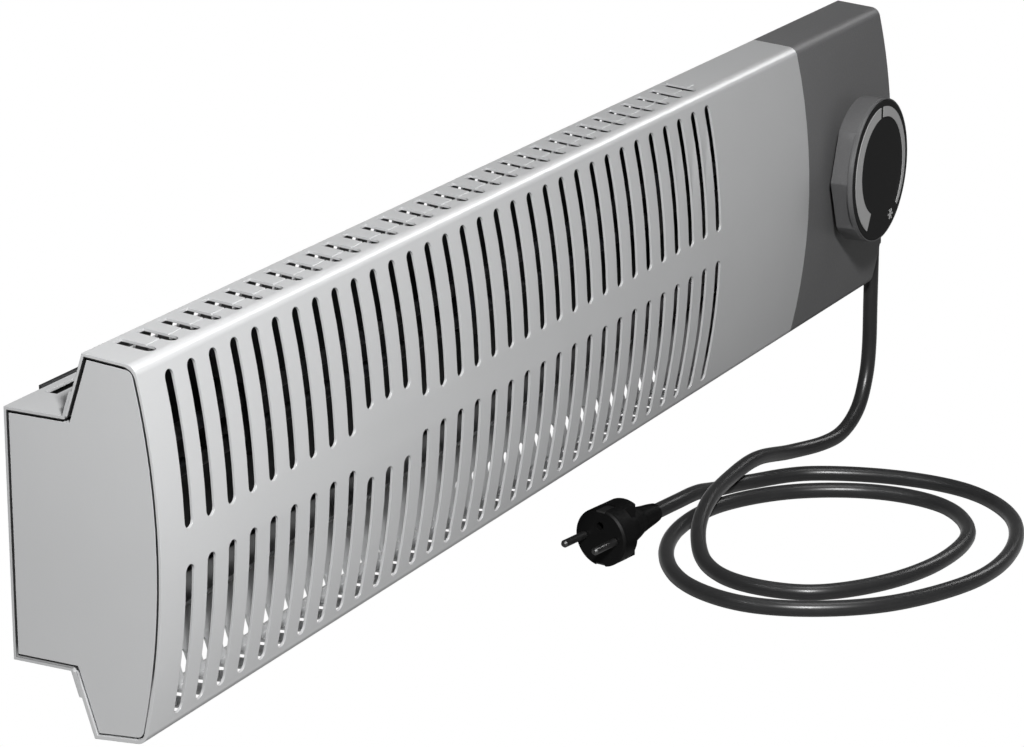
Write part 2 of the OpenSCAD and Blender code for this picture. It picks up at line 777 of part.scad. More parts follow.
// Element supports: an upright that the element passes through, on a riveted foot
module element_supports() {
    foot_h = 2 * (rivet_out + rivet_margin);
    reach = rod_y - shield_y + rod_r + 4;
    color("silver") difference() {
        for (i = [0:support_count - 1]) translate([support_x(i), 0, rod_z]) {
            translate([0, -shield_y - reach, -support_half]) cube([support_t, reach, 2 * support_half]);
            translate([0, -shield_y - support_t, -foot_h / 2]) cube([support_w, support_t, foot_h]);
        }
        rod_ends(left_x) cylinder(r = rod_r + rod_clear, h = body_len);
        support_places() to_room(0, -shield_y + 5, 0) cylinder(r = rivet_r, h = 10, $fn = 32);
    }
}

module support_rivets() {
    grip = shield_t + support_t;
    color("silver") support_places() to_room(0, -shield_y + shield_t, 0) {
        cylinder(r = rivet_r, h = grip, $fn = 32);
        translate([0, 0, grip]) cylinder(r1 = rivet_r + rivet_head, r2 = rivet_r, h = 1, $fn = 32);
        translate([0, 0, -1]) cylinder(r2 = rivet_r + rivet_head, r1 = rivet_r, h = 1, $fn = 32);
    }
}

// Channel that carries the thermostat on the rear casing
module thermostat_bracket() {
    reach = thermo_y + carrier_t + back_in;
    color("silver") difference() {
        translate([axis_x - carrier_w / 2 - carrier_t, -thermo_y - carrier_t, knob_z - carrier_h / 2]) {
            cube([carrier_w + 2 * carrier_t, carrier_t, carrier_h]);
            for (x = [0, carrier_w + carrier_t]) translate([x, 0, 0]) cube([carrier_t, reach, carrier_h]);
            for (x = [-foot_w, carrier_w + carrier_t]) translate([x, reach - carrier_t, 0])
                cube([foot_w + carrier_t, carrier_t, carrier_h]);
        }
        to_room(axis_x, -thermo_y + 1, knob_z) cylinder(r = neck_r + seat_clear, h = carrier_t + 2);
        foot_places() to_room(0, back_in + 1, 0) small_hole(carrier_t + 2, hole_clear);
    }
}

module foot_places() {
    out = carrier_w / 2 + carrier_t + foot_w / 2;
    for (k = [1, -1]) translate([axis_x + k * out, 0, knob_z]) children();
}

// Thermostat body, with a room for the spindle's collar and a blind bore behind it
module thermostat_body() {
    color("ivory") difference() {
        translate([axis_x - thermo_w / 2, -thermo_y, knob_z - thermo_h / 2])
            cube([thermo_w, thermo_d, thermo_h]);
        to_room(axis_x, collar_room - thermo_y, knob_z) cylinder(r = neck_r, h = collar_room + 1);
        to_room(axis_x, 1 - spindle_inner, knob_z)
            cylinder(r = spindle_r + spindle_clear, h = collar_room + 3);
    }
}

// Threaded neck: its foot closes the room of the spindle's collar
module thermostat_neck() {
    color("goldenrod") difference() {
        to_room(axis_x, neck_foot - thermo_y, knob_z)
            cylinder(r = neck_r - seat_clear, h = neck_len + neck_foot);
        to_room(axis_x, neck_foot - thermo_y + 1, knob_z)
            cylinder(r = spindle_r + spindle_clear, h = neck_len + neck_foot + 2);
    }
}

module thermostat_nut() {
    color("goldenrod") difference() {
        to_room(axis_x, -thermo_y - carrier_t, knob_z) cylinder(d = nut_flat / cos(30), h = nut_t, $fn = 6);
        to_room(axis_x, -thermo_y, knob_z) cylinder(r = neck_r, h = nut_t + 5);
    }
}

module thermostat_tabs() {
    color("silver") for (k = [1, -1])
        translate([axis_x + (k * tab_pitch - tab_w) / 2, tab_y - tab_t / 2, tab_end_z])
            cube([tab_w, tab_t, tab_len]);
}

// Feeler of the thermostat: a thin tube from its back to a bulb that lies in the casing
module sensor_bulb() {
    feeler = [[-20, -thermo_back, 0], [-20, -21, -3], [-20, -19, -10], [-19, -20, -22], [-15, -24, -32],
        [-6, -28, bulb_z + 9], [0, -29, bulb_z + 5], [0, bulb_y, bulb_z + 1], [-4, bulb_y, bulb_z],
        [bulb_x, bulb_y, bulb_z]];
    color("peru") translate([axis_x, 0, 0]) {
        swept_tube(spline(feeler, 3), tube_r, 8);
        translate([bulb_x, bulb_y, bulb_z]) rotate([0, -90, 0]) cylinder(r = bulb_r, h = bulb_len);
    }
}

// Round cut-out on the bulkhead, with its fixing plate and two tabs
module safety_cutout() {
    color("black") translate([comp_x, cutout_y, cutout_z]) rotate([0, 90, 0]) {
        cylinder(r = cutout_r, h = cutout_t);
        translate([-6, -12, 0]) cube([12, 24, 0.8]);
        for (k = [1, -1]) translate([-tab_w / 2, k * cutout_tab - tab_t / 2, cutout_t])
            cube([tab_w, tab_t, tab_len]);
    }
}

// Place of a pole of the terminal block
function pole_x(k) = block_x + 6 + k * block_pitch;

// Three-way terminal block on the rear casing, with a through hole for each pole
module terminal_block() {
    color("white") difference() {
        translate([block_x, back_in - block_d, block_z]) cube([3 * block_pitch, block_d, block_h]);
        for (k = [0:2]) translate([pole_x(k), bore_y, block_z]) {
            translate([0, 0, -1]) cylinder(r = bore_r, h = block_h + 2, $fn = 32);
            for (z = [5, 13]) to_room(0, -2, z) cylinder(r = bore_r + 0.3, h = block_d, $fn = 32);
        }
    }
}

// Earth stud on the rear casing: washer, ring tag with its barrel and nut
module earth_stud() {
    tag_y = 2.2;
    color("gold") to_room(stud_x, back_in, stud_z) {
        cylinder(r = 2, h = 10, $fn = 32);
        cylinder(r = 4, h = 1, $fn = 32);
        translate([0, 0, tag_y]) cylinder(r = 4, h = 0.8, $fn = 32);
            translate([-1.7, 3, tag_y]) cube([3.4, 6, 2.6]);
        translate([0, 0, 5.2]) cylinder(d = 8 / cos(30), h = 3, $fn = 6);
    }
}

// Live wires: lead to block, block to thermostat, thermostat to cut-out, cut-out to element
module live_wires() {
    pole = pole_x(2);
    tab_end = tab_end_z - wire_gap;
    tab_x = tab_pitch / 2;
    lead = [core_from + [0, 0, 1.6], core_from + [-2, 0, 1.6], core_from + [-5, 0, 0.6],
        core_from + [-7, 2, -9],
        [pole - 9, -49, tab_end + 2], [pole - 2, -32, block_top + 4], [pole, -19, block_top + 4.5],
        [pole, bore_y - 1, block_top + 4],
        [pole, bore_y, block_top], [pole, bore_y, block_top - 9]];
    link = [[pole, bore_y, block_z + 6], [pole, bore_y, block_z - 1], [pole - 1, -16, block_z - 4.5],
        [pole - 5, -23, block_z - 3], [pole - 11, -30, block_z + 1], [axis_x + tab_x + 5, -36, block_z + 8],
        [axis_x + tab_x, tab_y, tab_end - 6], [axis_x + tab_x, tab_y, tab_end]];
    cut = [[axis_x - tab_x, tab_y, tab_end], [axis_x - tab_x, tab_y, tab_end - 6],
        [axis_x - tab_x - 8, -41, -31], [axis_x - tab_x - 20, -49, -30],
        [cutout_end + 11, cutout_y - cutout_tab, cutout_z - 5],
        [cutout_end + 5, cutout_y - cutout_tab, cutout_z - 1],
        [cutout_end + wire_gap, cutout_y - cutout_tab, cutout_z]];
    heat = [[cutout_end + wire_gap, cutout_y + cutout_tab, cutout_z],
        [cutout_end + 6, cutout_y + cutout_tab, cutout_z + 1], [cutout_end + 13, cutout_y + 5, cutout_z + 8],
        [pin_end + 10, -rod_y - 4, rod_lo - 13], [pin_end + 9, -rod_y, rod_lo - 4],
        [pin_end + 5, -rod_y, rod_lo], [pin_end + wire_gap, -rod_y, rod_lo]];
    color("saddlebrown") for (p = [lead, link, cut, heat]) swept_tube(spline(p, 3), wire_r, 6);
}

// Neutral wires: lead to block, block to element
module neutral_wires() {
    pole = pole_x(1);
    low = floor_in + 3.5;
    lead = [core_from + [0, 1.6, -1.4], core_from + [-2, 1.6, -1.4], core_from + [-6, 3.6, -3],
        core_from + [-9, 8, -11],
        [pole - 3, -38, block_top + 5], [pole - 1, -24, block_top + 4], [pole, bore_y - 1, block_top + 5],
        [pole, bore_y, block_top], [pole, bore_y, block_top - 9]];
    heat = [[pole, bore_y, block_z + 6], [pole, bore_y, block_z - 1], [pole - 5, -14, low],
        [axis_x + 1, -14, low], [axis_x - 21, -12, low + 0.5], [axis_x - 33, -10, low + 6],
        [axis_x - 41, -10, -20], [axis_x - 42, -13, 14], [pin_end + 12, -25, rod_hi + 3],
        [pin_end + 9, -34, rod_hi + 2], [pin_end + 5, -rod_y, rod_hi],
        [pin_end + wire_gap, -rod_y, rod_hi]];
    color("royalblue") for (p = [lead, heat]) swept_tube(spline(p, 3), wire_r, 6);
}

// Earth wire: lead to the barrel of the stud's tag
module earth_wire() {
    barrel_y = back_in - 3.5;
    lead = [core_from + [0, -1.6, -1.4], core_from + [-2, -1.6, -1.4], core_from + [-6, -3.5, -4],
        [axis_x + 14, -57, -18],
        [axis_x + 6, -46, -25], [axis_x - 1, -32, -28], [axis_x - 6, -18, stud_z + 13],
        [stud_x, barrel_y - 1, stud_z + 11],
        [stud_x, barrel_y, stud_z + 9 + wire_gap]];
    color("yellowgreen") swept_tube(spline(lead, 3), wire_r, 6);
}

// Hood on the end wall in which the lead turns down, with a block for its two screws
module cord_hood() {
    y0 = -drop_y - hood_half_y;
    color("dimgray") difference() {
        intersection() {
            translate([hood_c[0], y0, hood_c[1]]) rotate([-90, 0, 0])
                cylinder(r = hood_r, h = 2 * hood_half_y);
            translate([right_x, y0 - 1, hood_low]) cube([hood_r, 2 * hood_half_y + 2, hood_r * 2]);
        }
        difference() {
            intersection() {
                translate([hood_c[0], y0 + hood_wall, hood_c[1]]) rotate([-90, 0, 0])
                    cylinder(r = hood_r - hood_wall, h = 2 * (hood_half_y - hood_wall));
                translate([right_x - 1, y0, hood_low + hood_wall])
                    cube([hood_r, 2 * hood_half_y, hood_r * 2]);
            }
            translate([right_x - 2, y0, hood_low])
                cube([hood_block + 2, 2 * hood_half_y, hood_screw_zs[1] + 4 - hood_low]);
        }
        translate([drop_at[0], drop_at[1], hood_low - 1])
            cylinder(r = grommet_r + seat_clear, h = hood_wall + 2);
        for (z = hood_screw_zs) translate([right_x - 1, -drop_y, z]) rotate([0, 90, 0])
            small_hole(hood_screw_grip + 2, seat_clear);
    }
}

module hood_screws() {
    color("silver") for (z = hood_screw_zs) translate([right_x - cover_t, -drop_y, z]) rotate([0, -90, 0])
        screw(cover_t + hood_screw_grip, small_r, small_head_r);
}

// Part of the lead inside the sleeve, the hood and the clamp
module inner_cord() {
    bend = [for (k = [0:6]) let (q = on_circle(hood_c, bend_r, k * 15)) [q[0], -drop_y, q[1]]];
    start = [drop_at[0], drop_at[1], sleeve_end_z];
    color("black") swept_tube(concat([start], bend, [core_start]), cord_r, 12);
}

module cord_clamp() {
    color("white") translate([clamp_x, -drop_y, window_top + cord_r]) difference() {
        translate([-clamp_w / 2, -clamp_out - 3.5, 0]) cube([clamp_w, 2 * clamp_out + 7, clamp_t]);
        for (k = [1, -1]) translate([0, k * clamp_out, -1]) small_hole(clamp_t + 2, hole_clear);
    }
}

module clamp_screws() {
    z = window_top + cord_r + clamp_t;
    color("silver") for (k = [1, -1]) translate([clamp_x, k * clamp_out - drop_y, z])
        screw(cord_d + clamp_t + shelf_t, small_r, small_head_r);
}

// Tapered sleeve with grooves: it hangs from the hood by a neck and a flange inside
module strain_relief() {
    root_r = sleeve_root_d / 2;
    ribs = 5;
    first_rib = sleeve_flange_t + 3;
    inside = hood_wall + grommet_flange_t;
    step = (sleeve_len - first_rib) / ribs;
    color("black") translate([drop_at[0], drop_at[1], hood_low]) mirror([0, 0, 1]) difference() {
        union() {
            cylinder(r = root_r + sleeve_flange, h = sleeve_flange_t);
            cylinder(r1 = root_r, r2 = sleeve_tip_d / 2, h = sleeve_len);
            translate([0, 0, -hood_wall]) cylinder(r = grommet_r, h = hood_wall + 1);
            translate([0, 0, -inside]) cylinder(r = grommet_flange_r, h = grommet_flange_t);
        }
        translate([0, 0, -inside - 1]) cylinder(r = cord_r + cord_clear, h = sleeve_len + inside + 2);
        for (k = [0:ribs - 1]) translate([0, 0, first_rib + k * step]) difference() {
            cylinder(r = root_r + 2, h = 1.2);
            translate([0, 0, -1]) cylinder(r = cord_r + 0.7, h = 4);
        }
    }
}

module case_screws() {
    color("silver") for (x = screw_xs) for (side = [1, -1])
        on_slope(x, side) translate([0, 0, casing_t]) screw(screw_reach);
}

// Screws of the thermostat bracket, driven into the rear casing from inside
module inner_screws() {
    color("silver") foot_places() to_room(0, back_in - carrier_t, 0)
        screw(carrier_t + casing_t + 1, small_r, small_head_r);
}

// Spindle with a collar inside the thermostat and a flat for the knob
module spindle() {
    color("silver") difference() {
        union() {
            to_room(axis_x, -spindle_inner, knob_z) cylinder(r = spindle_r, h = spindle_tip - spindle_inner);
            to_room(axis_x, collar_room - collar_play - thermo_y, knob_z)
                cylinder(r = neck_r - collar_play, h = collar_room - neck_foot - 2 * collar_play);
        }
        translate([axis_x - spindle_r, -spindle_tip - 1, knob_z + spindle_r - spindle_flat])
            cube([spindle_d, spindle_tip + 1 - flat_from, spindle_flat + 1]);
    }
}

module spindle_bore() {
    difference() {
        to_room(axis_x, 1 - knob_back, knob_z)
            cylinder(r = spindle_r + seat_clear, h = bore_end - knob_back + 1);
        translate([axis_x - spindle_d, -knob_front, knob_z + spindle_r - spindle_flat + seat_clear])
            cube([spindle_d * 2, knob_front - flat_from, spindle_d]);
    }
}

// Outline of the knob, inset by t: round, with two flats that meet in a ridge on either side
module knob_outline(t = 0) {
    difference() {
        circle(r = knob_r - t, $fn = arc_fn);
        for (side = [0, 180], k = [1, -1])
            rotate(side + k * grip_a) translate([grip_in - t, -knob_r]) square([knob_r, knob_d]);
    }
}

// Hollow knob with a hub on the spindle and a thin round rim that holds the dial disc
module knob() {
    body_h = knob_h - dial_t;
    color("dimgray") difference() {
        to_room(axis_x, -knob_back, knob_z) difference() {
            union() {
                linear_extrude(body_h) knob_outline();
                translate([0, 0, body_h - rim_t]) cylinder(r = rim_r, h = rim_t + dial_t - dial_proud);
            }
            translate([0, 0, body_h]) cylinder(r = dial_r + dial_play, h = dial_t);
            difference() {
                translate([0, 0, -1]) linear_extrude(body_h - knob_wall + 1) knob_outline(knob_wall);
                translate([0, 0, -2]) cylinder(r = hub_r, h = knob_h);
            }
        }
        spindle_bore();
    }
}

// Round disc on the front of the knob, with a rounded edge
module dial_disc() {
    edge = [for (k = [0:3]) on_circle([dial_r - dial_round, dial_t - dial_round], dial_round, k * 30)];
    color("black") to_room(axis_x, dial_t - knob_front, knob_z) rotate_extrude()
        polygon(concat([[0, 0], [dial_r, 0]], edge, [[0, dial_t]]));
}

// Pale scale: a ring that narrows clockwise, a pointer line through it and a frost symbol
module dial_marks() {
    steps = 72;
    sweep = ring_from + ring_to;
    width_step = (ring_thin - ring_wide) / steps;
    angles = [for (k = [0:steps]) 90 + ring_from - sweep * k / steps];
    outer = [for (a = angles) on_circle([0, 0], ring_r, a)];
    inner = [for (k = [steps:-1:0]) on_circle([0, 0], ring_r - ring_wide - width_step * k, angles[k])];
    symbol_a = 90 - ring_to - frost_after;
    color("darkgray") to_room(axis_x, -knob_front, knob_z) linear_extrude(mark_t) {
        difference() {
            polygon(concat(outer, inner));
            translate([-pointer_w / 2, 0]) square([pointer_w, ring_r + 1]);
        }
        translate(on_circle([0, 0], ring_r - frost_in, symbol_a)) for (k = [0:2])
            rotate(k * 60) square([frost_size, frost_size / 7], center = true);
    }
}

// Free part of the lead, from the sleeve to the plug
module power_cord() {
    laid = [for (p = route) [drop_at[0] + p[0], drop_at[1] + p[1], lay_z + p[2]]];
    points = concat([[drop_at[0], drop_at[1], sleeve_end_z]], laid, [plug_at]);
    color("black") swept_tube(spline(points, 2), cord_r, 12);
}

// Frame of the plug: +Z along the pins from the cable end
module plug_frame() {
    translate(plug_at) rotate([0, 0, -plug_turn]) rotate([0, -90, 0]) children();
}

// Moulded plug: a neck that widens into a flat-sided grip behind a round front, with two clip
// notches and an earth hole
module plug_body() {
    color("black") plug_frame() difference() {
        union() {
            rotate_extrude() polygon(concat([[0, 0]], plug_neck, [[plug_r, plug_front_at],
                [plug_r, plug_len - 1], [plug_r - 1, plug_len], [0, plug_len]]));
            intersection() {
                translate([0, 0, plug_front_at - plug_grip_len]) cylinder(r = plug_r, h = plug_grip_len + 1);
                translate([-plug_r, -plug_grip_half, 0]) cube([plug_d, 2 * plug_grip_half, plug_len]);
            }
        }
        for (k = [1, -1]) {
            translate([0, k * pin_pitch / 2, plug_len - pin_root])
                cylinder(d = pin_root_d, h = pin_root + 1, $fn = 32);
            translate([k * plug_r - notch_d, -clip_w / 2 - clip_play, plug_len - pin_root])
                cube([2 * notch_d, clip_w + 2 * clip_play, pin_root + 1]);
        }
        translate([earth_hole_up, 0, plug_len - pin_root])
            cylinder(d = earth_hole_d, h = pin_root + 1, $fn = 32);
    }
}

// Pins on a thinner root in the plug, each with a short taper at its tip
module plug_pins() {
    color("silver") plug_frame() for (k = [1, -1]) translate([0, k * pin_pitch / 2, plug_len]) {
        translate([0, 0, -pin_root]) cylinder(d = pin_root_d, h = pin_root + pin_root_out + 1, $fn = 32);
        translate([0, 0, pin_root_out]) cylinder(d = pin_d, h = pin_len - pin_tip - pin_root_out, $fn = 32);
        translate([0, 0, pin_len - pin_tip])
            cylinder(r1 = pin_d / 2, r2 = pin_d / 2 - pin_tip_in, h = pin_tip, $fn = 32);
    }
}

// Earth clips against the floors of the two notches
module plug_earth_clips() {
    color("silver") plug_frame() for (k = [1, -1])
        translate([k * (plug_r - notch_d + clip_t / 2) - clip_t / 2, -clip_w / 2, plug_len - pin_root])
            cube([clip_t, clip_w, pin_root - 0.5]);
}

wall_brackets();
back_casing();
front_housing();
left_end_cap();
control_cover();
bulkhead();
heat_shield();
heating_element();
element_seals();
element_pins();
element_collars();
element_supports();
support_rivets();
thermostat_bracket();
thermostat_body();
thermostat_neck();
thermostat_nut();
thermostat_tabs();
sensor_bulb();
safety_cutout();
terminal_block();
earth_stud();
live_wires();
neutral_wires();
earth_wire();
cord_hood();
hood_screws();
inner_cord();
cord_clamp();
clamp_screws();
strain_relief();
case_screws();
inner_screws();
spindle();
knob();
dial_disc();
dial_marks();
power_cord();
plug_body();
plug_pins();
plug_earth_clips();
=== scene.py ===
import bmesh
import bpy
import json
import math
from mathutils import Matrix, Vector


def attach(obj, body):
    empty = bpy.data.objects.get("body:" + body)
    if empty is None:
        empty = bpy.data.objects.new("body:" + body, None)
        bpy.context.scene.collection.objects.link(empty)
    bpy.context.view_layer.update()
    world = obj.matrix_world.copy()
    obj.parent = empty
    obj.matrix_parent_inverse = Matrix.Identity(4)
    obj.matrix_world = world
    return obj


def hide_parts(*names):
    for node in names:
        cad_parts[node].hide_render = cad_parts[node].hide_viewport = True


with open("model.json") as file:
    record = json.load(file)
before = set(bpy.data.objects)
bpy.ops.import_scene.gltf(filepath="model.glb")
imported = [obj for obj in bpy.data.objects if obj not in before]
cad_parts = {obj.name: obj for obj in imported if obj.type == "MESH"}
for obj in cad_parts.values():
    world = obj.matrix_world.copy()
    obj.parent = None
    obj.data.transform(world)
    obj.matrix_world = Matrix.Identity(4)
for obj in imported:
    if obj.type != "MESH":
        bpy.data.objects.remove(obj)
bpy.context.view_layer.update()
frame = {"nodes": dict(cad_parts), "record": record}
nodes = frame["nodes"]


# Camera, as the photograph has it: its place, its turn from +Y to +X and its fall, in degrees
camera_at = (-1.5491, -0.8429, 0.5133)
camera_turn, camera_fall = 62.458, 17.342
camera_lens = 135.28


def place_camera():
    data = bpy.data.cameras.new("photo_camera")
    data.sensor_width = 36
    data.lens = camera_lens
    data.clip_start = 0.05
    data.clip_end = 30
    camera = bpy.data.objects.new("photo_camera", data)
    bpy.context.scene.collection.objects.link(camera)
    yaw, pitch = math.radians(camera_turn), math.radians(camera_fall)
    ahead = Vector((math.sin(yaw) * math.cos(pitch), math.cos(yaw) * math.cos(pitch), -math.sin(pitch)))
    right = ahead.cross(Vector((0, 0, 1))).normalized()
    up = right.cross(ahead)
    turn = Matrix((right, up, -ahead)).transposed().to_4x4()
    camera.matrix_world = Matrix.Translation(camera_at) @ turn
    bpy.context.scene.camera = camera


place_camera()


# Nodes of a finish, reckoned with as numbers
class Level:
    def __init__(self, finish, socket):
        self.finish = finish
        self.socket = socket

    def reckon(self, operation, first, second=0.0):
        return self.finish.node("ShaderNodeMath", {"operation": operation}, {0: first, 1: second})

    def __add__(self, other):
        return self.reckon("ADD", self, other)

    def __sub__(self, other):
        return self.reckon("SUBTRACT", self, other)

    def __rsub__(self, other):
        return self.reckon("SUBTRACT", other, self)

    def __mul__(self, other):
        return self.reckon("MULTIPLY", self, other)

    def __pow__(self, other):
        return self.reckon("POWER", self, other)

    __radd__ = __add__
    __rmul__ = __mul__

    def at_least(self, other):
        return self.reckon("MAXIMUM", self, other)

    def at_most(self, other):
        return self.reckon("MINIMUM", self, other)

    def above(self, low, high):
        return self.finish.node("ShaderNodeMapRange", {"interpolation_type": "SMOOTHSTEP"},
                                {"Value": self, "From Min": low, "From Max": high})


class Finish:
    def __init__(self, name, colour, **plain):
        self.material = bpy.data.materials.new(name)
        self.material.use_nodes = True
        self.material.diffuse_color = (*colour, 1)
        self.tree = self.material.node_tree
        self.shader = self.tree.nodes["Principled BSDF"]
        self.colour = colour
        self.feed("Base Color", (*colour, 1))
        for socket, value in plain.items():
            self.feed(socket.replace("_", " "), value)
        self.place = self.node("ShaderNodeTexCoord", out="Object")

    def node(self, kind, settings=None, inputs=None, out=0):
        made = self.tree.nodes.new(kind)
        for name, value in (settings or {}).items():
            setattr(made, name, value)
        for name, value in (inputs or {}).items():
            self.join(made.inputs[name], value)
        return Level(self, made.outputs[out])

    def join(self, socket, value):
        if isinstance(value, Level):
            self.tree.links.new(value.socket, socket)
        else:
            socket.default_value = value

    def feed(self, name, value):
        self.join(self.shader.inputs[name], value)

    def stretched(self, x, y, z):
        return self.node("ShaderNodeMapping", inputs={"Vector": self.place, "Scale": (x, y, z)})

    def along(self, axis):
        return self.node("ShaderNodeSeparateXYZ", inputs={"Vector": self.place}, out=axis)

    def noise(self, per_metre, detail=2.0, rough=0.5, place=None, warp=0.0):
        return self.node("ShaderNodeTexNoise", inputs={"Vector": place or self.place, "Scale": per_metre,
                         "Detail": detail, "Roughness": rough, "Distortion": warp})

    def tint(self, share, low, high):
        mixed = self.tree.nodes.new("ShaderNodeMix")
        mixed.data_type = "RGBA"
        self.join(mixed.inputs[0], share)
        for socket, value in ((mixed.inputs[6], low), (mixed.inputs[7], high)):
            self.join(socket, value if isinstance(value, Level) else (*value, 1))
        return Level(self, mixed.outputs[2])

    def shaded(self, share, depth):
        low = [c * (1 - depth) for c in self.colour]
        high = [c * (1 + depth) for c in self.colour]
        return self.tint(share, low, high)

    def bump(self, height, metres, strength=1.0, edge=0.0):
        inputs = {"Height": height, "Distance": metres, "Strength": strength}
        if edge:
            inputs["Normal"] = self.node("ShaderNodeBevel", {"samples": 4}, {"Radius": edge})
        self.feed("Normal", self.node("ShaderNodeBump", inputs=inputs))


# Section of the housing, in metres, as the source has it
depth, half_height, half_box = 0.076, 0.08, 0.053
wall_gap, sheet = 0.005, 0.0012
rear_edge, top_fall, top_run, edge_radius = 0.0425, 0.002, 0.024, 0.0055
slope_run, slope_rise = 0.009, 0.027
bulge = depth - rear_edge - top_run
arc_radius = (bulge ** 2 + (half_height - top_fall) ** 2) / (2 * bulge)
slope_angle = math.atan2(slope_run, slope_rise)


def under_skin(f):
    """How far a point of the front housing lies below its outer skin"""
    y, z = f.along("Y"), f.along("Z")
    tall = z.reckon("ABSOLUTE", z)
    to_axis = y - (arc_radius - depth)
    under_front = arc_radius - (to_axis * to_axis + z * z) ** 0.5
    under_top = half_height + (y + rear_edge) * (top_fall / top_run) - tall
    short_front = (edge_radius - under_front).at_least(0.0)
    short_top = (edge_radius - under_top).at_least(0.0)
    round_edge = edge_radius - (short_front * short_front + short_top * short_top) ** 0.5
    behind = (half_height - tall) * math.sin(slope_angle) - (y + rear_edge) * math.cos(slope_angle)
    return round_edge.at_most(behind)


def under_casing(f):
    """How far a point of the rear casing lies below its outer skin"""
    z = f.along("Z")
    return (half_box - z.reckon("ABSOLUTE", z)).at_most(-wall_gap - f.along("Y"))


# Painted shade: the inner side is painted near black above these heights; below them it is bare, and the
# lower slots show it
bare_below, painted_shade_above = -0.06, -0.045
painted_shade_black = (0.012, 0.012, 0.012)
lacquer = 0.3


def powder_coat(name, colour, rough=0.42, metal=0.35, inner=None):
    """Fine silver powder coat: a soft orange peel, tiny flakes, a faint cloudiness, and painted shade on the
    inner side
    """
    f = Finish(name, colour, Metallic=metal, Coat_Weight=lacquer, Coat_Roughness=0.25)
    clouds = f.noise(14, 3)
    flakes = f.noise(2600, 1, 0.6)
    peel = f.noise(420, 2, 0.55)
    coat = f.shaded(clouds * 0.6 + flakes * 0.4, 0.07)
    if inner:
        # Painted shade: one sheet under the skin, above the given height, the coat turns near black and loses
        # its metal and lacquer
        painted_shade = inner(f).above(sheet * 0.9, sheet * 0.98) * f.along("Z").above(bare_below, painted_shade_above)
        coat = f.tint(painted_shade, coat, painted_shade_black)
        f.feed("Metallic", metal - painted_shade * metal)
        f.feed("Coat Weight", lacquer - painted_shade * lacquer)
    f.feed("Base Color", coat)
    f.feed("Roughness", rough - 0.06 + peel * 0.08 + clouds * 0.04)
    f.bump(peel * 0.7 + flakes * 0.3, 0.00006, 0.5, 0.0003)
    return f.material


def moulding(name, colour, rough, grain=900, depth=0.00009, shine=0.45):
    """Moulded plastic with a fine spark-eroded grain"""
    f = Finish(name, colour, Specular_IOR_Level=shine)
    cells = f.node("ShaderNodeTexVoronoi", {"feature": "SMOOTH_F1"},
                   {"Vector": f.place, "Scale": grain, "Smoothness": 0.6}, out="Distance")
    clouds = f.noise(25, 3)
    fine = f.noise(grain * 2.2, 2)
    f.feed("Base Color", f.shaded(clouds * 0.5 + cells * 0.5, 0.12))
    f.feed("Roughness", rough - 0.05 + fine * 0.1 + clouds * 0.04)
    f.bump(cells * 0.7 + fine * 0.3, depth, 0.6, 0.0004)
    return f.material


def rubber(name, colour, rough, sheen=0.15, shine=0.5):
    """Soft black cable rubber with a faint drag grain and dusty shine"""
    f = Finish(name, colour, Sheen_Weight=sheen, Sheen_Roughness=0.4, Specular_IOR_Level=shine)
    clouds = f.noise(60, 3)
    fine = f.noise(1500, 2, 0.6)
    f.feed("Base Color", f.shaded(clouds * 0.7 + fine * 0.3, 0.25))
    f.feed("Roughness", rough - 0.06 + clouds * 0.12 + fine * 0.05)
    f.bump(fine * 0.6 + clouds * 0.4, 0.00008, 0.5)
    return f.material


def plated(name, colour, rough=0.3):
    """Bright zinc or nickel plate with faint clouds and rubbing"""
    f = Finish(name, colour, Metallic=1.0)
    clouds = f.noise(180, 3, 0.6)
    fine = f.noise(2500, 2, 0.6)
    f.feed("Base Color", f.shaded(clouds, 0.12))
    f.feed("Roughness", rough - 0.08 + clouds * 0.16 + fine * 0.06)
    f.bump(fine, 0.00003, 0.4, 0.0002)
    return f.material


def rolled_sheet(name, colour, rough, metal):
    """Rolled sheet with fine lines along its length and a mottled skin"""
    f = Finish(name, colour, Metallic=metal)
    lines = f.noise(900, 2, 0.7, place=f.stretched(0.04, 1, 1))
    clouds = f.noise(40, 4, 0.6, warp=0.4)
    f.feed("Base Color", f.shaded(lines * 0.5 + clouds * 0.5, 0.16))
    f.feed("Roughness", rough - 0.05 + clouds * 0.15)
    f.bump(lines, 0.00004, 0.4, 0.0002)
    return f.material


def scaled_steel(name, colour):
    """Heat-darkened sheath: mottled grey scale with a blued cast"""
    f = Finish(name, colour, Metallic=0.7)
    spots = f.noise(220, 4, 0.65)
    bands = f.noise(30, 3, 0.5, warp=1.0)
    blued = f.tint(bands.above(0.45, 0.7), colour, (colour[0] * 0.7, colour[1] * 0.8, colour[2] * 1.1))
    f.feed("Base Color", f.tint(spots.above(0.35, 0.7), blued, [c * 0.55 for c in colour]))
    f.feed("Roughness", 0.42 + spots * 0.25)
    f.bump(spots, 0.00008, 0.5)
    return f.material


def printed(name, colour):
    """Pale pad print: slightly uneven ink on the dial"""
    f = Finish(name, colour)
    ink = f.noise(700, 3, 0.6)
    f.feed("Base Color", f.shaded(ink, 0.1))
    f.feed("Roughness", 0.5 + ink * 0.15)
    f.bump(ink, 0.00002, 0.4)
    return f.material


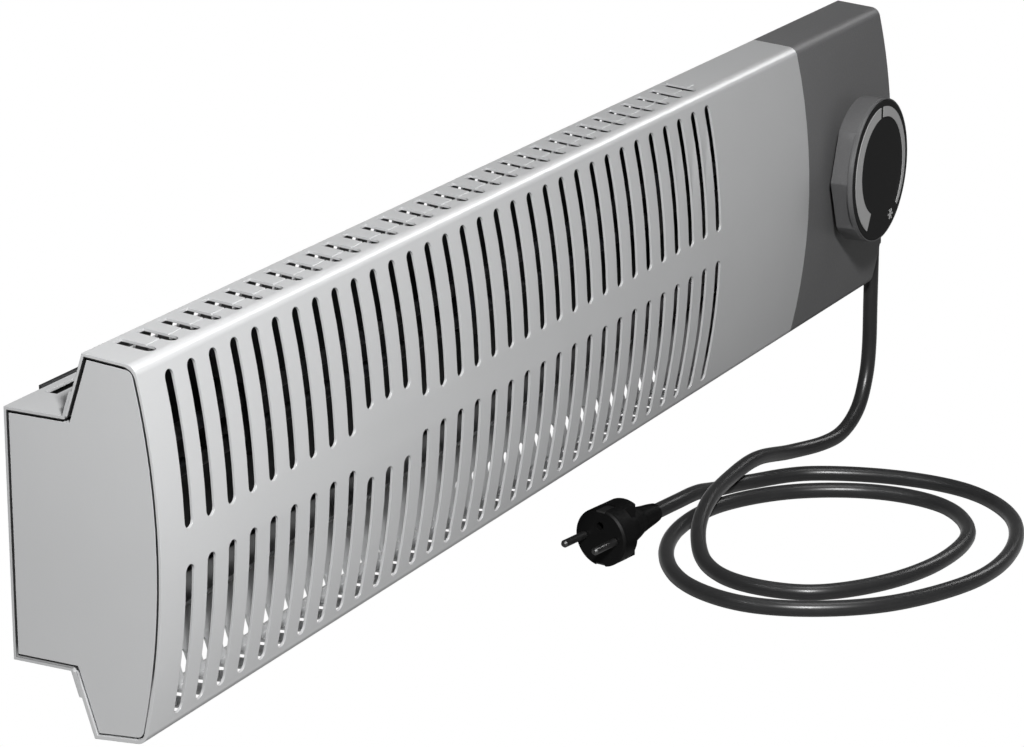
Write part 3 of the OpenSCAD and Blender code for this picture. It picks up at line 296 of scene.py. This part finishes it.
finishes = {
    # The front housing and the rear casing carry painted shade on their inner sides
    "housing_metal": powder_coat("silver_coat_painted_shade_inside", (0.66, 0.665, 0.67), inner=under_skin),
    "casing_metal": powder_coat("casing_coat_painted_shade_inside", (0.60, 0.605, 0.61), 0.45, inner=under_casing),
    "cap_metal": powder_coat("end_cap_coat", (0.58, 0.585, 0.59), 0.5, 0.25),
    "bracket_metal": moulding("bracket_black", (0.02, 0.02, 0.021), 0.45, 700),
    "cover_plastic": moulding("cover_grey", (0.14, 0.14, 0.142), 0.42),
    "knob_plastic": moulding("knob_grey", (0.115, 0.115, 0.117), 0.4, 1100, 0.00006),
    "dial_black": moulding("dial_black", (0.012, 0.012, 0.0122), 0.6, 1400, 0.00004, shine=0.25),
    "dial_print": printed("scale_print", (0.42, 0.42, 0.42)),
    "plated_steel": plated("zinc_plate", (0.6, 0.6, 0.59)),
    # Painted shade: the aluminium heat shield is coloured near black, as the inside of the housing lies in
    # shade
    "aluminium_sheet": rolled_sheet("shield_sheet_painted_dark", (0.012, 0.012, 0.0122), 0.6, 0.1),
    "element_steel": scaled_steel("element_sheath", (0.05, 0.049, 0.048)),
    "insulation": moulding("seal_ceramic", (0.72, 0.68, 0.6), 0.6, 1200),
    "brass": plated("plain_brass", (0.68, 0.5, 0.24), 0.28),
    "copper_tube": plated("copper", (0.62, 0.33, 0.2), 0.3),
    "inner_plastic": moulding("off_white_moulding", (0.7, 0.69, 0.64), 0.45),
    "cutout_plastic": moulding("black_moulding", (0.025, 0.025, 0.025), 0.4),
    "live_insulation": rubber("brown_wire", (0.16, 0.07, 0.035), 0.35),
    "neutral_insulation": rubber("blue_wire", (0.04, 0.12, 0.36), 0.35),
    "earth_insulation": rubber("green_wire", (0.28, 0.4, 0.05), 0.35),
    "lead_rubber": rubber("lead_rubber", (0.022, 0.022, 0.0225), 0.3),
    "sleeve_rubber": rubber("sleeve_rubber", (0.022, 0.022, 0.0225), 0.42),
    "plug_rubber": rubber("plug_rubber", (0.004, 0.004, 0.0041), 0.5, sheen=0.0, shine=0.2),
    "pin_metal": plated("nickel_plate", (0.2, 0.2, 0.2), 0.4),
}
node_slots = {part["node"]: part["material_slot"] for part in frame["record"]["subparts"]}
for name, node in nodes.items():
    node.data.materials.clear()
    node.data.materials.append(finishes[node_slots[name]])


def finished(name, mesh, slot, body="heater", stands_for=()):
    """Makes a piece of a bmesh that is already in place, with its finish, body and the nodes it stands for"""
    data = bpy.data.meshes.new(name)
    mesh.to_mesh(data)
    mesh.free()
    piece = bpy.data.objects.new(name, data)
    bpy.context.scene.collection.objects.link(piece)
    data.materials.append(finishes[slot])
    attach(piece, body)
    if stands_for:
        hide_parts(*stands_for)


# Knob, at its place on the control cover: distances from the wall, radii, and turns in degrees
knob_axis = Vector((0.317, 0, 0.0025))
knob_back, disc_back, rim_front, knob_front = 0.0799, 0.091, 0.0923, 0.0925
knob_floor, rim_back = disc_back - 0.0024, disc_back - 0.0015
knob_radius, knob_wall, grip_in = 0.039, 0.0024, 0.036
rim_radius, recess_radius, disc_radius = 0.0387, 0.0381, 0.038
hub_radius, bore_radius = 0.007, 0.00305
grip_turn, corner, rim_corner = 20, 42.62, 41.53
grip_round, rim_round = 0.0005, 0.00016
grip_turns = [-corner, -rim_corner, -36, *range(-30, 31, 5), 36, rim_corner, corner, *range(45, 136, 3)]
knob_turns = [side + turn for side in (0, 180) for turn in grip_turns]
touch = 1e-6


def on_knob(reach, turn, out):
    """A point by its distance from the knob's axis, its turn round it and its distance from the wall"""
    angle = math.radians(turn)
    return knob_axis + Vector((reach * math.cos(angle), -out, reach * math.sin(angle)))


def reach_and_turn(point):
    """Distance of a point from the knob's axis, and its turn round it"""
    x, z = point.x - knob_axis.x, point.z - knob_axis.z
    return math.hypot(x, z), math.degrees(math.atan2(z, x))


def outline(turn, inset):
    """Distance of the knob's side from its axis: arcs above and below, and two flats on either side"""
    reach = knob_radius - inset
    for flat in (grip_turn, -grip_turn, 180 - grip_turn, 180 + grip_turn):
        lean = math.cos(math.radians(turn - flat))
        if lean > 0.5:
            reach = min(reach, (grip_in - inset) / lean)
    return reach


def knob_ring(out, inset=0.0, least=0.0):
    return [on_knob(max(outline(turn, inset), least), turn, out) for turn in knob_turns]


def round_ring(radius, out):
    return [on_knob(radius, turn, out) for turn in knob_turns]


def drawn(rings):
    """A closed skin: the first ring of points is extruded to each next one"""
    mesh = bmesh.new()
    verts = [mesh.verts.new(point) for point in rings[0]]
    edges = [mesh.edges.new(ends) for ends in zip(verts, verts[1:] + verts[:1])]
    bmesh.ops.edgeloop_fill(mesh, edges=edges)
    for ring in rings[1:]:
        fresh = set(bmesh.ops.extrude_edge_only(mesh, edges=edges)["geom"])
        verts = [next(edge.other_vert(vert) for edge in vert.link_edges if edge.other_vert(vert) in fresh)
                 for vert in verts]
        edges = [item for item in fresh
                 if isinstance(item, bmesh.types.BMEdge) and fresh.issuperset(item.verts)]
        for vert, point in zip(verts, ring):
            vert.co = point
    bmesh.ops.edgeloop_fill(mesh, edges=edges)
    close_up(mesh)
    return mesh


def spun(profile, steps):
    """A closed skin: a profile of radius and distance from the wall, spun round the knob's axis"""
    mesh = bmesh.new()
    verts = [mesh.verts.new(on_knob(radius, 0, out)) for radius, out in profile]
    edges = [mesh.edges.new(ends) for ends in zip(verts, verts[1:])]
    bmesh.ops.spin(mesh, geom=verts + edges, cent=knob_axis, axis=(0, 1, 0), angle=2 * math.pi, steps=steps,
                   use_merge=True)
    close_up(mesh)
    return mesh


def close_up(mesh):
    bmesh.ops.remove_doubles(mesh, verts=mesh.verts, dist=touch)
    bmesh.ops.recalc_face_normals(mesh, faces=mesh.faces)


def round_edges(mesh, wanted, width, segments=3):
    edges = [edge for edge in mesh.edges if wanted(edge)]
    bmesh.ops.bevel(mesh, geom=edges, offset=width, offset_type="OFFSET", affect="EDGES", segments=segments,
                    profile=0.5, material=-1, clamp_overlap=True)


def smooth_by_angle(mesh, degrees):
    for face in mesh.faces:
        face.smooth = True
    for edge in mesh.edges:
        if len(edge.link_faces) == 2 and edge.calc_face_angle() > math.radians(degrees):
            edge.smooth = False


def make_knob():
    """Hollow knob: flats for the fingers, and a thin round rim that holds the dial disc"""
    mesh = drawn([
        knob_ring(knob_floor, knob_wall), knob_ring(knob_back, knob_wall), knob_ring(knob_back),
        knob_ring(rim_back), knob_ring(rim_back, 0, rim_radius), knob_ring(disc_back, 0, rim_radius),
        round_ring(rim_radius, disc_back), round_ring(rim_radius, rim_front),
        round_ring(recess_radius, rim_front), round_ring(recess_radius, disc_back)])

    def on_grip(edge):
        """Ridges and corners along the outside, from the back to the rim"""
        a, b = (vert.co for vert in edge.verts)
        reach, turn = reach_and_turn(a)
        turn = min(abs(turn), 180 - abs(turn))
        lengthways = abs(a.y - b.y) > 0.001 and min(a.y, b.y) > -rim_back - touch
        return lengthways and reach > grip_in + 0.0015 and (turn < 0.1 or abs(turn - corner) < 0.1)

    def on_rim(edge):
        """Sharp edges round the outside, at one distance from the wall"""
        a, b = (vert.co for vert in edge.verts)
        outside = min(reach_and_turn(a)[0], reach_and_turn(b)[0]) > grip_in - 0.0001
        return outside and abs(a.y - b.y) < touch and edge.calc_face_angle() > 1

    round_edges(mesh, on_grip, grip_round)
    round_edges(mesh, on_rim, rim_round, 2)
    smooth_by_angle(mesh, 24)
    finished("turning_knob", mesh, "knob_plastic", "knob_set", ["knob"])


def make_knob_hub():
    """Hub with its bore, both a little bevelled at the back"""
    low, bevel, bore_top, top = knob_back + 0.0004, 0.0003, knob_floor - 0.0003, knob_floor + 0.0003
    mesh = spun([(0, bore_top), (bore_radius, bore_top), (bore_radius, low), (bore_radius + bevel, knob_back),
                 (hub_radius - bevel, knob_back), (hub_radius, low), (hub_radius, top), (0, top)], 48)
    smooth_by_angle(mesh, 30)
    finished("knob_hub", mesh, "knob_plastic", "knob_set")


def make_dial():
    """Black disc with a rounded edge"""
    edge, bevel = 0.0005, 0.0002
    profile = [(0, disc_back), (disc_radius - bevel, disc_back), (disc_radius, disc_back + bevel)]
    for turn in range(0, 91, 15):
        q = math.radians(turn)
        profile.append((disc_radius - edge * (1 - math.cos(q)), knob_front - edge * (1 - math.sin(q))))
    mesh = spun(profile + [(0, knob_front)], 180)
    smooth_by_angle(mesh, 40)
    finished("dial_plate", mesh, "dial_black", "knob_set", ["dial_disc"])


make_knob()
make_knob_hub()
make_dial()


# Mains lead: where it drops and leaves its sleeve, the height it lies at, and the source's route, whose
# points are x and y from the drop and the height above that, in millimetres
drop = Vector((0.391, -0.059, 0))
sleeve_end = -0.060
lead_lies = -0.1649
lead_diameter = 0.0082
route = [
    (0, 0, 72), (0, 0, 44), (-4, 0, 26), (-15, 0, 11), (-31, 2, 2), (-50, 6, 0),
    (-78, 14, 2), (-116, 17, 9), (-154, 16, 9.5), (-194, 10, 9.5), (-228, 0, 5),
    (-257, -18, 0), (-275, -46, 0), (-271, -82, 0), (-241, -109, 0), (-198, -123, 0),
    (-152, -120, 0), (-119, -94, 0), (-113, -54, 0), (-133, -13, 0),
    (-171, 13, 0), (-216, 17, 0), (-258, 4, 0), (-289, -22, 0), (-301, -58, 0),
    (-290, -95, 0), (-262, -127, 0), (-214, -149, 0), (-164, -149, 0), (-118, -131, 0),
    (-90, -97, 0), (-86, -53, 0), (-101, -9, 0), (-128, 14, 0),
    (-156, 22, 3), (-182, 22, 9), (-206, 22.2, 11.4)]
plug_at = Vector((0.163, -0.0336, -0.1535))


def smooth_line(points, steps):
    """The same curve as the source draws through its route, with more steps"""
    line = []
    for i in range(len(points) - 1):
        a, b, c, d = points[max(i - 1, 0)], points[i], points[i + 1], points[min(i + 2, len(points) - 1)]
        for k in range(steps):
            t = k / steps
            line.append(0.5 * (2 * b + (c - a) * t + (2 * a - 5 * b + 4 * c - d) * t * t
                               + (3 * b - a - 3 * c + d) * t ** 3))
    return line + [points[-1]]


def make_lead():
    laid = [drop + Vector((0, 0, lead_lies)) + Vector(point) / 1000 for point in route]
    line = smooth_line([drop + Vector((0, 0, sleeve_end))] + laid + [plug_at], 10)
    curve = bpy.data.curves.new("mains_lead", "CURVE")
    curve.dimensions = "3D"
    curve.bevel_depth = lead_diameter / 2
    curve.bevel_resolution = 6
    curve.use_fill_caps = True
    spline = curve.splines.new("POLY")
    spline.points.add(len(line) - 1)
    for point, at in zip(spline.points, line):
        point.co = (*at, 1)
    curve.materials.append(finishes["lead_rubber"])
    lead = bpy.data.objects.new("mains_lead", curve)
    bpy.context.scene.collection.objects.link(lead)
    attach(lead, "heater")
    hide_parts("power_cord")
    length = sum((b - a).length for a, b in zip(line, line[1:]))


make_lead()


# Floor, lamps and world
floor_at, floor_half = -0.1695, 6
floor_grey = (0.18, 0.18, 0.18)
floor_in_gloss = 0.08
world_light = 0.03


def white_for_camera(name, colour, in_gloss):
    """Plain matt floor that the camera sees as white, and glossy surfaces see a share of it"""
    f = Finish(name, colour, Roughness=0.9)
    rays = f.tree.nodes.new("ShaderNodeLightPath").outputs
    glow = f.tree.nodes.new("ShaderNodeEmission")
    glow.inputs["Strength"].default_value = 1.0
    mix = f.tree.nodes.new("ShaderNodeMixShader")
    seen = Level(f, rays["Is Camera Ray"]) + Level(f, rays["Is Glossy Ray"]) * in_gloss
    f.join(mix.inputs[0], seen.at_most(1.0))
    f.tree.links.new(f.shader.outputs[0], mix.inputs[1])
    f.tree.links.new(glow.outputs[0], mix.inputs[2])
    f.tree.links.new(mix.outputs[0], f.tree.nodes["Material Output"].inputs["Surface"])
    return f.material


def lay_floor():
    mesh = bmesh.new()
    bmesh.ops.create_grid(mesh, x_segments=1, y_segments=1, size=floor_half)
    bmesh.ops.translate(mesh, verts=mesh.verts, vec=(0, 0, floor_at))
    data = bpy.data.meshes.new("floor")
    mesh.to_mesh(data)
    mesh.free()
    floor = bpy.data.objects.new("floor", data)
    bpy.context.scene.collection.objects.link(floor)
    data.materials.append(white_for_camera("floor_white", floor_grey, floor_in_gloss))


def lamp(name, at, to, size, watts):
    data = bpy.data.lights.new(name, "AREA")
    data.size = size
    data.energy = watts
    light = bpy.data.objects.new(name, data)
    bpy.context.scene.collection.objects.link(light)
    light.location = at
    light.rotation_mode = "QUATERNION"
    light.rotation_quaternion = (Vector(to) - Vector(at)).to_track_quat("-Z", "Y")


def light_world():
    """White for the camera, and dim for everything else"""
    world = bpy.data.worlds.new("studio")
    bpy.context.scene.world = world
    world.use_nodes = True
    tree = world.node_tree
    back = tree.nodes["Background"]
    back.inputs["Color"].default_value = (1, 1, 1, 1)
    path = tree.nodes.new("ShaderNodeLightPath")
    seen = tree.nodes.new("ShaderNodeMath")
    seen.operation = "MAXIMUM"
    tree.links.new(path.outputs["Is Camera Ray"], seen.inputs[0])
    tree.links.new(path.outputs["Is Transmission Ray"], seen.inputs[1])
    strength = tree.nodes.new("ShaderNodeMapRange")
    strength.inputs["To Min"].default_value = world_light
    strength.inputs["To Max"].default_value = 1.0
    tree.links.new(seen.outputs[0], strength.inputs["Value"])
    tree.links.new(strength.outputs[0], back.inputs["Strength"])


lay_floor()
light_world()
lamp("key", (-0.92, -0.72, 0.8), (-0.3, -0.05, 0.02), 0.12, 26)
lamp("fill", (0.1, -2.4, 0.9), (0.1, 0, 0), 1.6, 0.4)
lamp("top", (0.15, -0.3, 1.35), (0.1, -0.05, 0), 0.6, 5)
lamp("side", (1.45, -0.5, 0.85), (0.2, -0.06, 0.06), 0.4, 3.5)

bpy.context.scene.view_settings.view_transform = "Standard"
